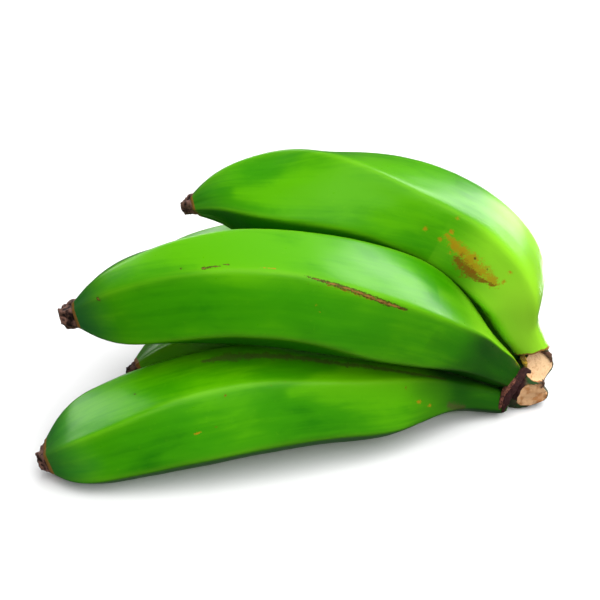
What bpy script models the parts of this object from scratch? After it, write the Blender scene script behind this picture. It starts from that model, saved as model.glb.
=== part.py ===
"""A cluster of five green plantains, cut from the bunch with their crown, lying on a table.

Metres, +Z up.  The fingers run from their flower ends, towards -X, to the crown, at +X.
Three fingers form the front row (upper, middle, lower) and two the row behind it.
The cluster rests on three small flats: under the lower finger, under the rear lower
finger and under the crown.  The origin is on the table, under the middle of the cluster.
"""

import math

import bmesh
import bpy
import numpy as np
from mathutils import Vector

MM = 0.001

# Driving dimensions, in millimetres
GAP = 0.35          # clearance between pieces that touch on the real fruit
RINGS = 38          # cross-sections along a finger
SIDES = 28          # corners of a cross-section
RIDGE = 0.78        # 0 is a round finger, 1 is a finger with sharp ridges
SOCKET = 0.16       # share of a finger's length that may reach into the crown
TABLE = 60.0        # thickness of the block that presses the flats
MIDDLE = (2.17, -1.39, 0.0)   # the middle of the cluster, in the places given below

# Shares of a finger's length, from its neck, at which the angles of its ridges are given
RIDGE_PLACES = (0.0, 0.12, 0.25, 0.40, 0.50, 0.60, 0.72, 0.85, 1.0)
# Each finger: how keen its ridges are, a route from its neck to its flower end, as
# (x, y, z, radius), and the angles in degrees of its long ridges at the ridge places,
# where 0 is the top and 90 is the front.
FINGERS = {
    "plantain_upper": {
        "keen": 13,
        "route": [
            (124, -35, 30, 8.0), (118, -36, 41, 9.5), (112, -36, 52, 12), (106, -36, 71.5, 19.4),
            (89, -30.7, 95.2, 23), (57, -19.4, 113.1, 24), (20, -6, 119.2, 24), (-9, 10, 118.4, 20.1),
            (-27, 20, 117.4, 12.8), (-38, 26, 113.5, 6),
        ],
        "ridges": [
            (-34, -26, -16, -18, -28, -40, -55, -60, -44),
            (44, 54, 62, 56, 50, 34, 6, -6, 38),
            (108, 118, 128, 126, 118, 106, 95, 90, 94),
            (180, 190, 200, 196, 188, 178, 165, 160, 168),
            (250, 260, 272, 264, 254, 242, 232, 228, 242),
        ],
    },
    "plantain_middle": {
        "keen": 28,
        "route": [
            (107.8, -37.4, 22.2, 7.5), (101, -38.2, 28.3, 9.7), (92, -40, 35.8, 11.7), (67, -45, 57, 19.4),
            (41, -48, 73.6, 24.9), (6, -43, 85.3, 27), (-29, -29, 89.2, 27.4), (-68, -9, 83.2, 25.4),
            (-91, 3, 75.8, 17), (-102.5, 9, 71.8, 8),
        ],
        "ridges": [
            (-30, -24, -16, -10, -8, -4, 6, 24, 32),
            (22, 40, 57, 58, 52, 49, 50, 53, 57),
            (112, 112, 116, 122, 112, 109, 110, 114, 118),
            (182, 182, 182, 182, 182, 184, 190, 202, 208),
            (256, 256, 256, 256, 256, 262, 276, 298, 308),
        ],
    },
    "plantain_lower": {
        "keen": 20,
        "route": [
            (105, -38.9, 7.4, 6.2), (92, -38.2, 12.3, 7.7), (79, -39, 17, 9), (61, -42, 22.8, 13.1),
            (40, -42, 25.4, 19.8), (3, -40, 31, 24.2), (-32, -37, 32.4, 26), (-66, -33, 29, 26),
            (-99, -26, 20.8, 22.8), (-118.5, -21, 14, 15.5), (-126, -18, 11, 9),
        ],
        "ridges": [
            (-25, -25, -25, -25, -25, -25, -25, -20, -12),
            (38, 40, 44, 52, 50, 46, 47, 55, 53),
            (115, 115, 115, 115, 115, 115, 115, 115, 115),
            (185, 185, 185, 185, 185, 185, 185, 185, 185),
            (255, 255, 255, 255, 255, 255, 255, 255, 255),
        ],
    },
    "plantain_rear_upper": {
        "keen": 17,
        "route": [
            (125, -19, 18, 6.5), (117, -14, 26, 9.5), (92, 2, 48, 17), (58, 18, 62, 21),
            (19, 34, 67, 22), (-13, 45, 67, 21.5), (-41, 54, 62, 17.5), (-61, 60, 55, 10.5),
            (-72, 63, 50, 6.5),
        ],
        "ridges": [(a,) * 9 for a in (-36, 36, 108, 180, 252)],
    },
    "plantain_rear_lower": {
        "keen": 17,
        "route": [
            (119, -24, 6, 6.5), (102, -18, 11, 10.5), (72, -8, 18, 17.5), (36, 4, 23, 22),
            (1, 14, 26, 23), (-35, 22, 30, 21), (-60, 23, 31, 13), (-73, 23, 29, 4.5),
        ],
        "ridges": [(a,) * 9 for a in (-36, 36, 108, 180, 252)],
    },
}

# Each dried flower end: length, radius where it meets the finger, radius at its end
BLOSSOMS = {
    "plantain_upper": (8.5, 5.2, 2.2),
    "plantain_middle": (10.5, 7.0, 3.8),
    "plantain_lower": (7.5, 7.6, 4.6),
    "plantain_rear_upper": (9.0, 5.4, 2.6),
    "plantain_rear_lower": (6.5, 3.6, 1.8),
}
BLOSSOM_RINGS = 8
BLOSSOM_SIDES = 20

# The crown has axes of its own: out from the fruit, back through the cluster, and up
CROWN_AT = np.array((122.8, -32.0, 12.5))
CROWN_OUT = np.array((0.94, -0.342, 0.0))
CROWN_BACK = np.array((0.309, 0.847, -0.432))
CROWN_UP = np.array((0.147, 0.406, 0.902))
# Level slices of the crown: height, shift outwards, shift back, half width, half depth
CROWN_SLICES = [
    (18, 3.4, -6.5, 6.6, 9), (13, 4, -1.5, 8.4, 14.5), (7.8, 3.4, 2, 9.6, 18.6), (0, -0.8, 2.5, 9.8, 19),
    (-6, -1.4, 2.5, 12.6, 18), (-10, -2.2, 4, 11, 15.5), (-12.8, -4, 5.5, 6.5, 10.5),
]
CROWN_SIDES = 28
CROWN_SQUARE = 2.6   # exponent of the slices' outline: 2 is an ellipse, more is squarer
# The dried rim runs down the crown's front, as (out, up, back, radius)
RIM_ROUTE = [
    (-0.4, 5.8, -14.4, 1.2), (-3.4, 6.4, -16.8, 2.0), (-6.6, 3.8, -18.6, 2.4), (-9.6, -0.2, -19.4, 2.5),
    (-12.3, -5.2, -18.4, 2.3), (-13.9, -10.4, -16.8, 2.0), (-14.9, -15.0, -14.4, 1.2),
]
RIM_RINGS = 16
RIM_SIDES = 14
# The two knife cuts: centre (out, up, back), direction they face, radius
UPPER_CUT = ((4.4, 9.0, -11.6), (0.08, -0.08, -0.99), 8.4)
LOWER_CUT = ((1.2, -7.2, -10.0), (0.3, -0.6, -0.74), 9.0)
# The upper finger's neck ends at a level cut, given in the same way
NECK_CUT = ((2.0, 16.8, -16.0), (0.2, -0.97, 0.12), 16.0)
CUT_DEPTH = 20.0

GREEN = (0.045, 0.30, 0.008, 1)
CUT_TAN = (0.62, 0.36, 0.17, 1)
DRIED = (0.045, 0.022, 0.018, 1)


def spline(knots, values, at):
    """Natural cubic spline through the rows of values at knots, read at the given places."""
    knots = np.asarray(knots, float)
    values = np.asarray(values, float)
    count = len(knots)
    step = np.diff(knots)
    matrix = np.eye(count)
    right = np.zeros_like(values)
    for i in range(1, count - 1):
        matrix[i, i - 1:i + 2] = step[i - 1], 2 * (step[i - 1] + step[i]), step[i]
        right[i] = 6 * ((values[i + 1] - values[i]) / step[i] - (values[i] - values[i - 1]) / step[i - 1])
    bend = np.linalg.solve(matrix, right)
    k = np.clip(np.searchsorted(knots, at) - 1, 0, count - 2)
    width = step[k][:, None]
    a = (knots[k + 1] - at)[:, None] / width
    b = 1 - a
    return a * values[k] + b * values[k + 1] + ((a**3 - a) * bend[k] + (b**3 - b) * bend[k + 1]) * width**2 / 6


def along(route, count):
    """A smooth line through the route, at evenly spaced stations, with its radius there."""
    route = np.asarray(route, float)
    reach = np.r_[0, np.cumsum(np.linalg.norm(np.diff(route[:, :3], axis=0), axis=1))]
    fine = spline(reach, route, np.linspace(0, reach[-1], 600))
    arc = np.r_[0, np.cumsum(np.linalg.norm(np.diff(fine[:, :3], axis=0), axis=1))]
    places = np.linspace(0, arc[-1], count)
    line = np.stack([np.interp(places, arc, fine[:, i]) for i in range(4)], 1)
    return line[:, :3], line[:, 3]


def carried_axes(centre):
    """The line's direction, and two normals carried along it, the first upward at its far end."""
    ahead = np.gradient(centre, axis=0)
    ahead /= np.linalg.norm(ahead, axis=1)[:, None]
    up = np.zeros_like(ahead)
    last = np.array((0.0, 0.0, 1.0))
    for i in range(len(ahead) - 1, -1, -1):
        last = last - (last @ ahead[i]) * ahead[i]
        last /= np.linalg.norm(last)
        up[i] = last
    return ahead, up, np.cross(up, ahead)


def ridged_outline(angles, ridges, keen):
    """Distance to a rounded polygon whose corners lie at the ridges, for each station.

    It is about 1 on average.  The sides face halfway between the ridges."""
    corner = np.sort(np.radians(ridges) % (2 * math.pi), axis=1)
    following = np.c_[corner[:, 1:], corner[:, :1] + 2 * math.pi]
    middle = (corner + following)[:, None] / 2
    half = (following - corner)[:, None] / 2
    facing = np.maximum(0, np.cos(angles[None, :, None] - middle)) / np.cos(half)
    outline = (facing**keen).sum(2) ** (-1 / keen)
    return 1 + RIDGE * (outline / outline.mean(1)[:, None] - 1)


def tube_rings(centre, radius, outline):
    """Rings of points round a line, from its radius and the outline of its section."""
    ahead, up, side = carried_axes(centre)
    angles = np.linspace(0, 2 * math.pi, outline.shape[-1], endpoint=False)
    spoke = np.cos(angles)[:, None] * up[:, None] + np.sin(angles)[:, None] * side[:, None]
    return centre[:, None] + spoke * (radius[:, None] * outline)[..., None]


def skin(name, rings, colour, roughness, collection):
    """One closed body from rings of points in millimetres, with a fan over each end."""
    count, sides = rings.shape[:2]
    points = (np.vstack([rings.reshape(-1, 3), rings[0].mean(0), rings[-1].mean(0)]) - MIDDLE) * MM
    start, end = count * sides, count * sides + 1
    faces = []
    for j in range(sides):
        k = (j + 1) % sides
        faces += [(i * sides + j, (i + 1) * sides + j, (i + 1) * sides + k, i * sides + k) for i in range(count - 1)]
        faces += [(start, j, k), (end, (count - 1) * sides + k, (count - 1) * sides + j)]
    mesh = bpy.data.meshes.new(name)
    mesh.from_pydata(points.tolist(), [], faces)
    tidy = bmesh.new()
    tidy.from_mesh(mesh)
    bmesh.ops.recalc_face_normals(tidy, faces=tidy.faces)
    bmesh.ops.triangulate(tidy, faces=tidy.faces)
    tidy.to_mesh(mesh)
    tidy.free()
    mesh.materials.append(finish(name, colour, roughness))
    piece = bpy.data.objects.new(name, mesh)
    collection.objects.link(piece)
    return piece


def finish(name, colour, roughness):
    """A plain Principled material."""
    material = bpy.data.materials.new(name + "_finish")
    material.use_nodes = True
    shader = material.node_tree.nodes["Principled BSDF"]
    shader.inputs["Base Color"].default_value = colour
    shader.inputs["Roughness"].default_value = roughness
    shader.inputs["Metallic"].default_value = 0.0
    return material


def shade(piece):
    """Smooth shading, with the cut edges kept sharp."""
    piece.data.shade_smooth()
    piece.data.set_sharp_from_angle(angle=math.radians(40))


def as_cutter(piece):
    piece.hide_render = True
    piece.display_type = "WIRE"
    return piece


def boolean(piece, other, operation):
    """Cuts or joins with another mesh, and applies it."""
    modifier = piece.modifiers.new(operation.lower(), "BOOLEAN")
    modifier.object = other
    modifier.operation = operation
    modifier.solver = "EXACT"
    bpy.context.view_layer.objects.active = piece
    bpy.ops.object.modifier_apply(modifier=modifier.name)


def finger_rings(spec, grow=0.0):
    """A finger: a ridged section along its route, or the same grown by a clearance."""
    centre, radius = along(spec["route"], RINGS)
    angles = np.linspace(0, 2 * math.pi, SIDES, endpoint=False)
    ridges = spline(RIDGE_PLACES, np.array(spec["ridges"], float).T, np.linspace(0, 1, RINGS))
    outline = ridged_outline(angles, ridges, spec["keen"])
    if grow:
        ahead = centre[1] - centre[0]
        centre[0] -= ahead / np.linalg.norm(ahead) * grow
    return tube_rings(centre, radius + grow, outline)


def make_fingers(parts, cutters):
    """The five fingers, and a slightly larger copy of each neck to cut the crown with."""
    fingers = {}
    necks = {}
    neck_rings = math.ceil(RINGS * SOCKET)
    for name, spec in FINGERS.items():
        fingers[name] = skin(name, finger_rings(spec), GREEN, 0.45, parts)
        grown = finger_rings(spec, GAP)[:neck_rings]
        necks[name] = as_cutter(skin(name + "_neck", grown, GREEN, 0.45, cutters))
    return fingers, necks


def make_blossom(finger_name, parts):
    """A dried flower end: five uneven lobes, drawn in to a blunt crumpled tip."""
    length, base, tip = BLOSSOMS[finger_name]
    centre, radius = along(FINGERS[finger_name]["route"], RINGS)
    ahead = centre[-1] - centre[-2]
    ahead /= np.linalg.norm(ahead)
    share = np.linspace(0, 1, BLOSSOM_RINGS)
    line = centre[-1] + ahead * (GAP + length * share)[:, None]
    size = base + (tip - base) * share**1.3
    size *= np.where(share == 1, 0.75, 1 + 0.06 * np.sin(share * 9))
    angles = np.linspace(0, 2 * math.pi, BLOSSOM_SIDES, endpoint=False)
    turn = angles[None] + 0.9 * share[:, None]
    lobes = 1 + share[:, None] ** 0.5 * (0.16 * np.cos(5 * turn) + 0.07 * np.cos(3 * turn + 2))
    name = finger_name.replace("plantain", "blossom_end")
    return skin(name, tube_rings(line, size, lobes), DRIED, 0.9, parts)


def crown_place(out, up, back):
    """A point of the crown, from its own axes."""
    return CROWN_AT + CROWN_OUT * out + CROWN_UP * up + CROWN_BACK * back


def knife_cut(name, cut, cutters, shift=0.0):
    """A round block that leaves a round cut face, or the same shifted the way that it faces."""
    (out, up, back), facing, radius = cut
    direction = CROWN_OUT * facing[0] + CROWN_UP * facing[1] + CROWN_BACK * facing[2]
    direction /= np.linalg.norm(direction)
    bpy.ops.mesh.primitive_cylinder_add(vertices=28, radius=radius * MM, depth=CUT_DEPTH * MM)
    block = bpy.context.object
    block.name = name
    block.location = Vector((crown_place(out, up, back) + direction * (CUT_DEPTH / 2 + shift) - MIDDLE) * MM)
    block.rotation_euler = Vector(direction).to_track_quat("Z", "Y").to_euler()
    bpy.ops.object.transform_apply(location=True, rotation=True, scale=True)
    for owner in list(block.users_collection):
        owner.objects.unlink(block)
    cutters.objects.link(block)
    return as_cutter(block)


def make_crown(parts, cutters, necks, cuts):
    """The crown: a squarish pad with a dried rim, cut by the knife and open to the necks."""
    slices = np.asarray(CROWN_SLICES, float)
    fine = spline(-slices[:, 0], slices, np.linspace(-slices[0, 0], -slices[-1, 0], 14))
    angles = np.linspace(0, 2 * math.pi, CROWN_SIDES, endpoint=False)
    wide = np.sign(np.cos(angles)) * np.abs(np.cos(angles)) ** (2 / CROWN_SQUARE)
    deep = np.sign(np.sin(angles)) * np.abs(np.sin(angles)) ** (2 / CROWN_SQUARE)
    rings = np.array([
        [crown_place(out + width * w, up, back + depth * d) for w, d in zip(wide, deep)]
        for up, out, back, width, depth in fine
    ])
    crown = skin("crown", rings, CUT_TAN, 0.75, parts)
    rim_line = np.array([[*crown_place(out, up, back), size] for out, up, back, size in RIM_ROUTE])
    rim_centre, rim_radius = along(rim_line, RIM_RINGS)
    rim = skin("crown_rim", tube_rings(rim_centre, rim_radius, np.ones((RIM_RINGS, RIM_SIDES))), DRIED, 0.8, cutters)
    boolean(crown, rim, "UNION")
    as_cutter(rim)
    for block in (*cuts, *necks.values()):
        boolean(crown, block, "DIFFERENCE")
    return crown


def press_flats(pieces, cutters):
    """Cuts off what would reach below the table, which leaves a small flat under each piece."""
    bpy.ops.mesh.primitive_cube_add(size=1)
    table = bpy.context.object
    table.name = "table_level"
    table.scale = (0.6, 0.6, TABLE * MM)
    table.location = (0, 0, -TABLE * MM / 2)
    bpy.ops.object.transform_apply(location=True, rotation=True, scale=True)
    for owner in list(table.users_collection):
        owner.objects.unlink(table)
    cutters.objects.link(table)
    as_cutter(table)
    for piece in pieces:
        boolean(piece, table, "DIFFERENCE")


def main():
    for item in list(bpy.data.objects):
        bpy.data.objects.remove(item, do_unlink=True)
    parts = bpy.data.collections.new("plantain_cluster")
    cutters = bpy.data.collections.new("cutters")
    bpy.context.scene.collection.children.link(parts)
    bpy.context.scene.collection.children.link(cutters)
    fingers, necks = make_fingers(parts, cutters)
    blossoms = [make_blossom(name, parts) for name in FINGERS]
    upper_cut = knife_cut("upper_cut", UPPER_CUT, cutters)
    lower_cut = knife_cut("lower_cut", LOWER_CUT, cutters)
    neck_cut = knife_cut("neck_cut", NECK_CUT, cutters)
    socket_end = knife_cut("socket_end", NECK_CUT, cutters, GAP)
    boolean(fingers["plantain_upper"], neck_cut, "DIFFERENCE")
    boolean(necks["plantain_upper"], socket_end, "DIFFERENCE")
    crown = make_crown(parts, cutters, necks, (upper_cut, lower_cut))
    press_flats([fingers["plantain_lower"], fingers["plantain_rear_lower"], crown], cutters)
    for piece in [*fingers.values(), *blossoms, crown]:
        shade(piece)


if __name__ == "__main__":
    main()
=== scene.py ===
"""The finished look of a cluster of five green plantains, cut from the bunch with their crown.

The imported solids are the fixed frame.  Each finger is a ridged tube carried along the same
route as its solid, the crown is a lofted pad with two knife cuts, a dried rim and torn
shreds, and each flower end is a crumpled stub.  Every surface is a closed form of its own,
worked out with numpy as whole arrays.  Lengths in the tables are millimetres.
"""

import math

import bpy
import numpy as np
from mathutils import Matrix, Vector


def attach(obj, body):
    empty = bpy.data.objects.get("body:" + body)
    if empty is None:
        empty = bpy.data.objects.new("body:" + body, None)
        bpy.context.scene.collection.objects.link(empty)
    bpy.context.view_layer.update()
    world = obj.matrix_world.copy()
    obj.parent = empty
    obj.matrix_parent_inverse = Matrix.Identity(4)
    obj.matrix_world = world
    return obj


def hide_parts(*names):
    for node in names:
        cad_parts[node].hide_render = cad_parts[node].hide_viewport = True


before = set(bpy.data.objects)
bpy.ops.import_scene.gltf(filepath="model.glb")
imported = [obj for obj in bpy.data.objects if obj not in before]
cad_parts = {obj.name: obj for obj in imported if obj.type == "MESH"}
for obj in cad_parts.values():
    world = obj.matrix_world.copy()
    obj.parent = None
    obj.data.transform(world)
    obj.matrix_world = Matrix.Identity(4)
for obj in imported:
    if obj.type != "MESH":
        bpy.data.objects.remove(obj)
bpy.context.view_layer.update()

bl_info = {
    "name": "Plantain cluster",
    "version": (1, 0, 0),
    "blender": (4, 5, 0),
    "location": "3D View > Sidebar > Plantains",
    "description": "Builds the peel, the cut crown and the dried flower ends of some plantains",
    "category": "Object",
}

MM = 0.001
MIDDLE = np.array((2.17, -1.39, 0.0))   # the middle of the cluster, in the tables' places

# Each finger: a route from neck to flower end, as (x, y, z, radius), and its five ridges.
# A ridge is a row of angles, 0 at the top and 90 at the front, at the RIDGE_PLACES.
RIDGE_PLACES = (0.0, 0.12, 0.25, 0.40, 0.50, 0.60, 0.72, 0.85, 1.0)
EVEN_RIDGES = [(a,) * 9 for a in (-36, 36, 108, 180, 252)]
FINGERS = {
    "plantain_upper": ([
        (124, -35, 30, 8.0), (118, -36, 41, 9.5), (112, -36, 52, 12), (106, -36, 71.5, 19.4),
        (89, -30.7, 95.2, 23), (57, -19.4, 113.1, 24), (20, -6, 119.2, 24), (-9, 10, 118.4, 20.1),
        (-27, 20, 117.4, 12.8), (-38, 26, 113.5, 6),
    ], [
        (-34, -26, -16, -18, -28, -40, -55, -60, -44),
        (44, 54, 62, 56, 50, 34, 6, -6, 38),
        (108, 118, 128, 126, 118, 106, 95, 90, 94),
        (180, 190, 200, 196, 188, 178, 165, 160, 168),
        (250, 260, 272, 264, 254, 242, 232, 228, 242),
    ]),
    "plantain_middle": ([
        (107.8, -37.4, 22.2, 7.5), (101, -38.2, 28.3, 9.7), (92, -40, 35.8, 11.7), (67, -45, 57, 19.4),
        (41, -48, 73.6, 24.9), (6, -43, 85.3, 27), (-29, -29, 89.2, 27.4), (-68, -9, 83.2, 25.4),
        (-91, 3, 75.8, 17), (-102.5, 9, 71.8, 8),
    ], [
        (-30, -24, -16, -10, -8, -4, 6, 24, 32),
        (22, 40, 57, 58, 52, 49, 50, 53, 57),
        (112, 112, 116, 122, 112, 109, 110, 114, 118),
        (182, 182, 182, 182, 182, 184, 190, 202, 208),
        (256, 256, 256, 256, 256, 262, 276, 298, 308),
    ]),
    "plantain_lower": ([
        (105, -38.9, 7.4, 6.2), (92, -38.2, 12.3, 7.7), (79, -39, 17, 9), (61, -42, 22.8, 13.1),
        (40, -42, 25.4, 19.8), (3, -40, 31, 24.2), (-32, -37, 32.4, 26), (-66, -33, 29, 26),
        (-99, -26, 20.8, 22.8), (-118.5, -21, 14, 15.5), (-126, -18, 11, 9),
    ], [
        (*(-25,) * 7, -20, -12),
        (38, 40, 44, 52, 50, 46, 47, 55, 53),
        *((a,) * 9 for a in (115, 185, 255)),
    ]),
    "plantain_rear_upper": ([
        (125, -19, 18, 6.5), (117, -14, 26, 9.5), (92, 2, 48, 17), (58, 18, 62, 21),
        (19, 34, 67, 22), (-13, 45, 67, 21.5), (-41, 54, 62, 17.5), (-61, 60, 55, 10.5),
        (-72, 63, 50, 6.5),
    ], EVEN_RIDGES),
    "plantain_rear_lower": ([
        (119, -24, 6, 6.5), (102, -18, 11, 10.5), (72, -8, 18, 17.5), (36, 4, 23, 22),
        (1, 14, 26, 23), (-35, 22, 30, 21), (-60, 23, 31, 13), (-73, 23, 29, 4.5),
    ], EVEN_RIDGES),
}

# Marks on the peel.  A row of (place along from the neck, angle, half width) is a stroke that
# runs from place to place, and a single one is a dot.  Blotches are orange, rust is dark
# red-brown, scuffs are dusty brown, and the lower finger's first one is partly painted shadow
# where the middle finger lies over it; scars are dry and tan with a dark edge, specks are dark
# dots, and lighter patches make the skin lighter.
MARKS = {
    "plantain_upper": {
        "blotch": [
            [(98, 82, 2.0), (90, 90, 4.2), (80, 95, 5.2)], [(82, 99, 5.2), (72, 98, 5.2), (63, 98, 3.2)],
            (100, 90, 1.6), (92, 100, 1.4), (109, 84, 1.7), (97, 76, 1.5), (97.5, 59, 1.3), (63, 74, 1.4),
            (61, 87, 1.6), (28, 12, 1.1),
        ],
        "rust": [
            [(87, 103, 2.8), (79, 109, 4.6), (72, 110, 3)], [(71, 110, 1.8), (62, 100, 1.2)], (86, 94, 1.2),
        ],
        "scuff_and_painted_shadow": [[(196, 250, 2.0), (150, 246, 2.6), (118, 250, 1.6)]],
        "scar": [[(30, 215, 0.5), (52, 222, 0.9), (70, 228, 0.5)]],
        "speck": [
            (80, 90, 0.9), (71.5, 91, 0.8), (76, 93, 0.5), (159, -10, 0.8), (158, -3, 0.6),
            (148, 60, 0.5), (118, 80, 0.4),
        ],
        "lighter_patch": [[(196, 62, 3), (166, 60, 11), (136, 56, 17), (105, 74, 18), (80, 90, 16)]],
    },
    "plantain_middle": {
        "blotch": [
            [(154, 45.5, 0.5), (148, 45, 0.4)], (131, 73, 0.7), (129.5, 79, 0.6), (176, 46, 0.4),
            [(19, -6, 0.8), (12, 3, 2.4), (5, 15, 2.2)],
        ],
        "rust": [[(129, 53.5, 0.3), (113, 59, 0.7), (97, 63.5, 0.4)]],
        "scuff_and_painted_shadow": [[(88, 160, 1.6), (130, 170, 2.6), (170, 172, 1.8)]],
        "scar": [
            [(137, 49, 0.35), (129, 51.5, 0.7), (121, 54, 0.9), (114, 57, 1.0), (105.5, 60.5, 1.1),
             (96.5, 62.5, 0.5)],
            [(176.5, 46.5, 0.75), (172, 45.5, 0.5), (166, 43, 0.35)],
            (185.4, 45, 0.6), [(227, 56.5, 0.9), (226, 59, 0.5)],
            [(60, 230, 0.5), (90, 236, 0.8), (104, 238, 0.4)], [(17, -5, 0.6), (10, 2, 1.2), (4, 10, 1.0)],
        ],
        "speck": [(135, 55, 0.6), (133, 57, 0.45), (131, 56, 0.5), (86, 35, 0.6), (200, 80, 0.4)],
        "lighter_patch": [[(214, 24, 3), (176, 26, 10), (140, 28, 13), (100, 30, 10)]],
    },
    "plantain_lower": {
        "blotch": [(60, 80, 1.4), (54, 91, 1.3), [(171, 85, 0.8), (168, 84, 0.6)], (118, 49, 0.5)],
        "rust": [(155.4, 52, 1.0), (161.6, 82, 0.8), (128.6, 48, 0.6), (68, 56, 1.1), (135, 50, 0.4)],
        "scuff_and_painted_shadow": [
            # This stroke is partly rubbed skin and partly painted shadow, where the middle finger lies over
            # the top and shades it
            [(160, -4, 2.0), (148, -2, 4.6), (134, 4, 3.8), (115, 14, 2.8), (100, 23, 2.4), (78, 28, 2.2),
             (60, 32, 1.6), (45, 36, 1.0)],
            [(42, 100, 2.2), (35, 108, 3.0), (30, 112, 2.0)],
        ],
        "scar": [[(150, 220, 0.5), (126, 226, 0.9), (104, 224, 0.5)]],
        "speck": [(191.6, 21, 0.9), (139, 3, 0.8), (120, 17, 0.7), (98, 29, 0.8)],
        "lighter_patch": [[(126, 60, 3), (92, 62, 12), (70, 66, 13), (50, 76, 9)]],
    },
    "plantain_rear_upper": {
        "blotch": [[(120, 230, 2.2), (108, 226, 3.0), (98, 232, 1.4)], (70, 60, 1.2)],
        "rust": [(110, 228, 1.6)],
        "scuff_and_painted_shadow": [[(150, 120, 2.2), (120, 124, 2.0)]],
        "scar": [[(160, 250, 0.5), (140, 256, 0.9), (118, 258, 0.5)]],
        "speck": [(90, 270, 0.8), (135, 200, 0.7)],
    },
    "plantain_rear_lower": {
        "blotch": [[(90, 250, 1.6), (82, 252, 2.2)]],
        "rust": [(60, 236, 0.9)],
        "scuff_and_painted_shadow": [[(130, 300, 2.4), (100, 304, 2.0)]],
        "scar": [[(120, 262, 0.5), (100, 268, 0.9), (84, 268, 0.5)]],
        "speck": [(140, 240, 0.8), (70, 280, 0.7)],
    },
}

# How each finger differs: its neck's tone from -1, painted pale and yellow as painted light, to 1, dark; how
# far the neck reaches; how blue its flower end is; how keen its ridges are; and how much painted light
# lightens it
TURNS = {
    "plantain_upper": (-1.0, 0.48, 0.25, 13, 0.1),
    "plantain_middle": (1.0, 0.35, 1.0, 28, 0.0),
    "plantain_lower": (1.0, 0.32, 0.7, 20, 0.0),
    # The rear fingers' last number is painted light: it lightens fingers that lie in the others' shade
    "plantain_rear_upper": (0.6, 0.24, 0.3, 17, 0.8),
    "plantain_rear_lower": (0.6, 0.24, 0.2, 17, 2.6),
}

# Painted light and shade on each side of a finger, from the top round by the front: the top is painted
# lighter and yellower, the lower sides darker
PAINTED_LIGHT_AND_SHADE_BY_SIDE = (0.6, 0.1, -2.2, -1.0, 0.2)

# Each dried flower end: length, radius where it meets the finger, radius at its end
BLOSSOMS = {
    "plantain_upper": (8.5, 5.4, 2.6),
    "plantain_middle": (11.0, 7.4, 4.4),
    "plantain_lower": (7.5, 7.6, 4.6),
    "plantain_rear_upper": (9.0, 5.4, 2.6),
    "plantain_rear_lower": (6.5, 3.6, 1.8),
}

# The crown has axes of its own: out from the fruit, up, and back through the cluster
CROWN_AT = np.array((122.8, -32.0, 12.5))
CROWN_AXES = np.array(((0.94, -0.342, 0.0), (0.147, 0.406, 0.902), (0.309, 0.847, -0.432)))
# Level slices of the crown: height, shift outwards, shift back, half width, half depth
CROWN_SLICES = [
    (18, 3.4, -6.5, 6.6, 9), (13, 4, -1.5, 8.4, 14.5), (7.8, 3.4, 2, 9.6, 18.6), (0, -0.8, 2.5, 9.8, 19),
    (-6, -1.4, 2.5, 12.6, 18), (-10, -2.2, 4, 11, 15.5), (-12.8, -4, 5.5, 6.5, 10.5),
]
CROWN_SQUARE = 2.6   # exponent of the slices' outline: 2 is an ellipse, more is squarer
# The knife cuts: centre (out, up, back), the direction they face, and radius
UPPER_CUT = ((4.4, 9.0, -11.6), (0.08, -0.08, -0.99), 8.4)
LOWER_CUT = ((1.2, -7.2, -10.0), (0.3, -0.6, -0.74), 9.0)
# The upper finger's neck ends on a level cut: a point on it and the direction it faces
NECK_CUT = ((2.0, 16.8, -16.0), (0.2, -0.97, 0.12))
# Torn shreds of the crown: a route of (out, up, back, half width), then the thickness
# as a share of the width, the turn of the flat side in degrees, and the kind
SHREDS = {
    "crown_dried_rim": ([
        (-0.4, 5.8, -14.4, 0.9), (-3.4, 6.4, -16.8, 1.7), (-6.6, 3.8, -18.6, 2.3), (-9.6, -0.2, -19.4, 2.4),
        (-12.3, -5.2, -18.4, 2.2), (-13.9, -10.4, -16.8, 1.9), (-14.9, -15.0, -14.4, 0.8),
    ], 0.62, 20, 0.0),
    "crown_red_edge": ([
        (-7.4, 5.4, -18.2, 0.6), (-9.8, 2.6, -19, 1.9), (-12.8, -1.2, -19, 2.1), (-15.6, -6.6, -17.8, 1.2),
        (-16.6, -10.8, -16.6, 1.6), (-17.2, -13.8, -15.0, 0.6),
    ], 0.6, -30, 1.0),
    "crown_curled_flap": ([
        (5.4, 16.2, -13.4, 0.6), (8.0, 15.6, -13.2, 1.1), (10.0, 13.6, -12.6, 1.2), (10.8, 10.6, -11.8, 0.4),
    ], 0.4, 60, 0.6),
    "crown_yellow_rim": ([
        (-4.6, 16.0, -15.6, 0.6), (-4.4, 13.4, -15.4, 1.5), (-3.4, 10.6, -14.6, 1.6), (-2.6, 7.4, -14.0, 0.6),
    ], 0.5, 10, 2.0),
    "crown_spur": ([
        (6.4, 1.8, -11.6, 0.3), (6.8, -0.2, -12.4, 0.7), (5.4, -2.8, -12.4, 0.4),
    ], 0.6, 0, 0.5),
}


def tint(name, description, *rgb):
    """A colour setting."""
    return bpy.props.FloatVectorProperty(
        name=name, description=description, default=rgb, subtype="COLOR", min=0.0, max=1.0)


def brightness(name, description, default, most=20.0):
    """A setting for the strength of a light or panel."""
    return bpy.props.FloatProperty(
        name=name, description="Strength of the " + description, default=default, min=0.0, max=most)


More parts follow.
